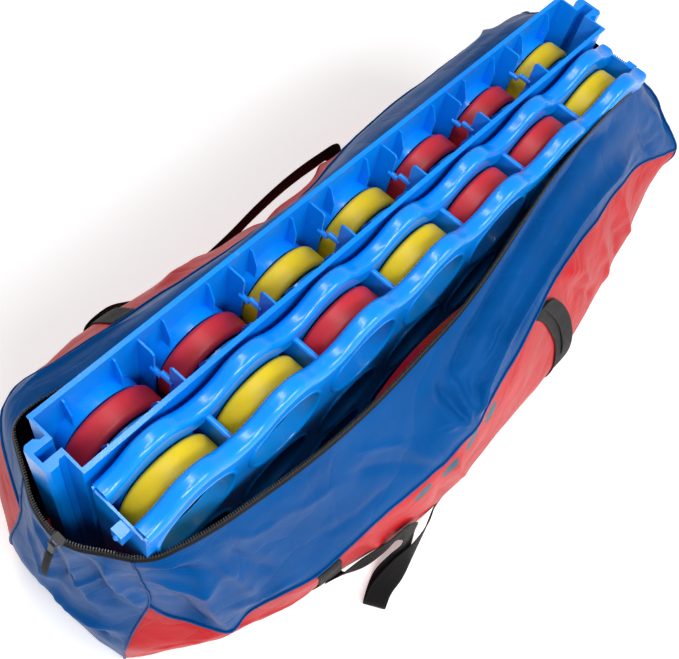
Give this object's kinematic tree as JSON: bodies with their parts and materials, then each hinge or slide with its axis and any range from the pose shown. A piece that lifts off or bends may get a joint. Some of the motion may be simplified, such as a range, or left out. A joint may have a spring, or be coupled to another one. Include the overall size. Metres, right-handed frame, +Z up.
{
  "type": "giant four in a row",
  "caption": "Giant four-in-a-row set packed in its open zip carry bag: two grid panels on edge, filled with red and yellow discs.",
  "frame": {"origin": "middle of the bag's base, on the floor", "axes": "+X along the bag towards the end that the release bar slides to, -Y the bag's front, +Z up"},
  "size_m": [1.3895, 0.6112, 0.5126],
  "materials": {
    "panel_blue": "smooth moulded polyethylene, glossy",
    "disc_red": "satin moulded plastic",
    "disc_yellow": "satin moulded plastic",
    "screw_steel": "zinc plated",
    "cloth_red": "coated woven polyester",
    "cloth_blue": "coated woven polyester",
    "zip_black": "woven zip tape with a nylon coil",
    "webbing_black": "woven webbing",
    "slider_black": "black enamelled zinc"
  },
  "bodies": {
    "bag": {"bag_base": "cloth_red", "bag_front_side": "cloth_red", "bag_back_side": "cloth_red", "bag_left_end": "cloth_blue", "bag_right_end": "cloth_blue", "bag_front_flap": "cloth_blue", "bag_back_flap": "cloth_blue", "zip_tape_front": "zip_black", "zip_tape_back": "zip_black", "webbing_straps": "webbing_black"},
    "lower_panel": {"lower_panel_front_shell": "panel_blue", "lower_panel_back_shell": "panel_blue", "lower_panel_screws": "screw_steel"},
    "upper_panel": {"upper_panel_front_shell": "panel_blue", "upper_panel_back_shell": "panel_blue", "upper_panel_screws": "screw_steel"},
    "release_bar": {"release_bar": "panel_blue"},
    "left_foot": {"left_foot": "panel_blue"},
    "right_foot": {"right_foot": "panel_blue"},
    "zip_slider": {"zip_slider": "slider_black"},
    "zip_pull": {"zip_pull": "slider_black", "zip_pull_tab": "zip_black"},
    "front_handle": {"front_handle": "webbing_black"},
    "back_handle": {"back_handle": "webbing_black"},
    "lower_top_disc_1": {"lower_top_disc_1": "disc_red"},
    "lower_disc_pair_1": {"lower_disc_pair_1": "disc_yellow"},
    "lower_top_disc_2": {"lower_top_disc_2": "disc_red"},
    "lower_disc_pair_2": {"lower_disc_pair_2": "disc_yellow"},
    "lower_top_disc_3": {"lower_top_disc_3": "disc_yellow"},
    "lower_disc_pair_3": {"lower_disc_pair_3": "disc_red"},
    "lower_top_disc_4": {"lower_top_disc_4": "disc_yellow"},
    "lower_disc_pair_4": {"lower_disc_pair_4": "disc_red"},
    "lower_top_disc_5": {"lower_top_disc_5": "disc_red"},
    "lower_disc_pair_5": {"lower_disc_pair_5": "disc_yellow"},
    "lower_top_disc_6": {"lower_top_disc_6": "disc_red"},
    "lower_disc_pair_6": {"lower_disc_pair_6": "disc_yellow"},
    "lower_top_disc_7": {"lower_top_disc_7": "disc_yellow"},
    "lower_disc_pair_7": {"lower_disc_pair_7": "disc_red"},
    "upper_top_disc_1": {"upper_top_disc_1": "disc_yellow"},
    "upper_disc_pair_1": {"upper_disc_pair_1": "disc_red"},
    "upper_top_disc_2": {"upper_top_disc_2": "disc_yellow"},
    "upper_disc_pair_2": {"upper_disc_pair_2": "disc_red"},
    "upper_top_disc_3": {"upper_top_disc_3": "disc_red"},
    "upper_disc_pair_3": {"upper_disc_pair_3": "disc_yellow"},
    "upper_top_disc_4": {"upper_top_disc_4": "disc_yellow"},
    "upper_disc_pair_4": {"upper_disc_pair_4": "disc_red"},
    "upper_top_disc_5": {"upper_top_disc_5": "disc_red"},
    "upper_disc_pair_5": {"upper_disc_pair_5": "disc_yellow"},
    "upper_top_disc_6": {"upper_top_disc_6": "disc_red"},
    "upper_disc_pair_6": {"upper_disc_pair_6": "disc_yellow"},
    "upper_top_disc_7": {"upper_top_disc_7": "disc_yellow"},
    "upper_disc_pair_7": {"upper_disc_pair_7": "disc_red"}
  },
  "joints": [
    {"name": "lower_panel_lift", "type": "slide", "parent": "bag", "child": "lower_panel", "axis": [0, 0, 1], "range_m": [0, 0.55]},
    {"name": "upper_panel_lift", "type": "slide", "parent": "bag", "child": "upper_panel", "axis": [0, 0, 1], "range_m": [0, 0.55]},
    {"name": "release_bar_slide", "type": "slide", "parent": "lower_panel", "child": "release_bar", "axis": [1, 0, 0], "range_m": [0, 0.081]},
    {"name": "left_foot_lift", "type": "slide", "parent": "bag", "child": "left_foot", "axis": [0, 0, 1], "range_m": [0, 0.22]},
    {"name": "right_foot_lift", "type": "slide", "parent": "bag", "child": "right_foot", "axis": [0, 0, 1], "range_m": [0, 0.22]},
    {"name": "zip_slider_slide", "type": "slide", "parent": "bag", "child": "zip_slider", "axis": [0, 1, 0], "range_m": [0, 0.03]},
    {"name": "zip_pull_swing", "type": "hinge", "parent": "zip_slider", "child": "zip_pull", "pos_m": [-0.6725, 0.028, 0.4255], "axis": [0, 1, 0], "range_deg": [0, 150]},
    {"name": "front_handle_swing", "type": "hinge", "parent": "bag", "child": "front_handle", "pos_m": [-0.375, -0.23, 0.13], "axis": [-0.9968, 0.0794, 0], "range_deg": [0, 140]},
    {"name": "back_handle_swing", "type": "hinge", "parent": "bag", "child": "back_handle", "pos_m": [-0.375, 0.284, 0.2], "axis": [-0.9994, -0.0354, 0], "range_deg": [0, 120]},
    {"name": "lower_top_disc_1_lift", "type": "slide", "parent": "lower_panel", "child": "lower_top_disc_1", "axis": [0, 0, 1], "range_m": [0, 0.4]},
    {"name": "lower_disc_pair_1_lift", "type": "slide", "parent": "lower_panel", "child": "lower_disc_pair_1", "axis": [0, 0, 1], "range_m": [0, 0.16]},
    {"name": "lower_top_disc_2_lift", "type": "slide", "parent": "lower_panel", "child": "lower_top_disc_2", "axis": [0, 0, 1], "range_m": [0, 0.4]},
    {"name": "lower_disc_pair_2_lift", "type": "slide", "parent": "lower_panel", "child": "lower_disc_pair_2", "axis": [0, 0, 1], "range_m": [0, 0.16]},
    {"name": "lower_top_disc_3_lift", "type": "slide", "parent": "lower_panel", "child": "lower_top_disc_3", "axis": [0, 0, 1], "range_m": [0, 0.4]},
    {"name": "lower_disc_pair_3_lift", "type": "slide", "parent": "lower_panel", "child": "lower_disc_pair_3", "axis": [0, 0, 1], "range_m": [0, 0.16]},
    {"name": "lower_top_disc_4_lift", "type": "slide", "parent": "lower_panel", "child": "lower_top_disc_4", "axis": [0, 0, 1], "range_m": [0, 0.4]},
    {"name": "lower_disc_pair_4_lift", "type": "slide", "parent": "lower_panel", "child": "lower_disc_pair_4", "axis": [0, 0, 1], "range_m": [0, 0.16]},
    {"name": "lower_top_disc_5_lift", "type": "slide", "parent": "lower_panel", "child": "lower_top_disc_5", "axis": [0, 0, 1], "range_m": [0, 0.4]},
    {"name": "lower_disc_pair_5_lift", "type": "slide", "parent": "lower_panel", "child": "lower_disc_pair_5", "axis": [0, 0, 1], "range_m": [0, 0.16]},
    {"name": "lower_top_disc_6_lift", "type": "slide", "parent": "lower_panel", "child": "lower_top_disc_6", "axis": [0, 0, 1], "range_m": [0, 0.4]},
    {"name": "lower_disc_pair_6_lift", "type": "slide", "parent": "lower_panel", "child": "lower_disc_pair_6", "axis": [0, 0, 1], "range_m": [0, 0.16]},
    {"name": "lower_top_disc_7_lift", "type": "slide", "parent": "lower_panel", "child": "lower_top_disc_7", "axis": [0, 0, 1], "range_m": [0, 0.4]},
    {"name": "lower_disc_pair_7_lift", "type": "slide", "parent": "lower_panel", "child": "lower_disc_pair_7", "axis": [0, 0, 1], "range_m": [0, 0.16]},
    {"name": "upper_top_disc_1_lift", "type": "slide", "parent": "upper_panel", "child": "upper_top_disc_1", "axis": [0, 0, 1], "range_m": [0, 0.4]},
    {"name": "upper_disc_pair_1_lift", "type": "slide", "parent": "upper_panel", "child": "upper_disc_pair_1", "axis": [0, 0, 1], "range_m": [0, 0.16]},
    {"name": "upper_top_disc_2_lift", "type": "slide", "parent": "upper_panel", "child": "upper_top_disc_2", "axis": [0, 0, 1], "range_m": [0, 0.4]},
    {"name": "upper_disc_pair_2_lift", "type": "slide", "parent": "upper_panel", "child": "upper_disc_pair_2", "axis": [0, 0, 1], "range_m": [0, 0.16]},
    {"name": "upper_top_disc_3_lift", "type": "slide", "parent": "upper_panel", "child": "upper_top_disc_3", "axis": [0, 0, 1], "range_m": [0, 0.4]},
    {"name": "upper_disc_pair_3_lift", "type": "slide", "parent": "upper_panel", "child": "upper_disc_pair_3", "axis": [0, 0, 1], "range_m": [0, 0.16]},
    {"name": "upper_top_disc_4_lift", "type": "slide", "parent": "upper_panel", "child": "upper_top_disc_4", "axis": [0, 0, 1], "range_m": [0, 0.4]},
    {"name": "upper_disc_pair_4_lift", "type": "slide", "parent": "upper_panel", "child": "upper_disc_pair_4", "axis": [0, 0, 1], "range_m": [0, 0.16]},
    {"name": "upper_top_disc_5_lift", "type": "slide", "parent": "upper_panel", "child": "upper_top_disc_5", "axis": [0, 0, 1], "range_m": [0, 0.4]},
    {"name": "upper_disc_pair_5_lift", "type": "slide", "parent": "upper_panel", "child": "upper_disc_pair_5", "axis": [0, 0, 1], "range_m": [0, 0.16]},
    {"name": "upper_top_disc_6_lift", "type": "slide", "parent": "upper_panel", "child": "upper_top_disc_6", "axis": [0, 0, 1], "range_m": [0, 0.4]},
    {"name": "upper_disc_pair_6_lift", "type": "slide", "parent": "upper_panel", "child": "upper_disc_pair_6", "axis": [0, 0, 1], "range_m": [0, 0.16]},
    {"name": "upper_top_disc_7_lift", "type": "slide", "parent": "upper_panel", "child": "upper_top_disc_7", "axis": [0, 0, 1], "range_m": [0, 0.4]},
    {"name": "upper_disc_pair_7_lift", "type": "slide", "parent": "upper_panel", "child": "upper_disc_pair_7", "axis": [0, 0, 1], "range_m": [0, 0.16]}
  ],
  "couplings": [
    {"joint": "left_foot_lift", "follows": "upper_panel_lift", "ratio": 0.4},
    {"joint": "right_foot_lift", "follows": "upper_panel_lift", "ratio": 0.4},
    {"joint": "lower_disc_pair_1_lift", "follows": "lower_top_disc_1_lift", "ratio": 0.4},
    {"joint": "lower_disc_pair_2_lift", "follows": "lower_top_disc_2_lift", "ratio": 0.4},
    {"joint": "lower_disc_pair_3_lift", "follows": "lower_top_disc_3_lift", "ratio": 0.4},
    {"joint": "lower_disc_pair_4_lift", "follows": "lower_top_disc_4_lift", "ratio": 0.4},
    {"joint": "lower_disc_pair_5_lift", "follows": "lower_top_disc_5_lift", "ratio": 0.4},
    {"joint": "lower_disc_pair_6_lift", "follows": "lower_top_disc_6_lift", "ratio": 0.4},
    {"joint": "lower_disc_pair_7_lift", "follows": "lower_top_disc_7_lift", "ratio": 0.4},
    {"joint": "upper_disc_pair_1_lift", "follows": "upper_top_disc_1_lift", "ratio": 0.4},
    {"joint": "upper_disc_pair_2_lift", "follows": "upper_top_disc_2_lift", "ratio": 0.4},
    {"joint": "upper_disc_pair_3_lift", "follows": "upper_top_disc_3_lift", "ratio": 0.4},
    {"joint": "upper_disc_pair_4_lift", "follows": "upper_top_disc_4_lift", "ratio": 0.4},
    {"joint": "upper_disc_pair_5_lift", "follows": "upper_top_disc_5_lift", "ratio": 0.4},
    {"joint": "upper_disc_pair_6_lift", "follows": "upper_top_disc_6_lift", "ratio": 0.4},
    {"joint": "upper_disc_pair_7_lift", "follows": "upper_top_disc_7_lift", "ratio": 0.4}
  ]
}
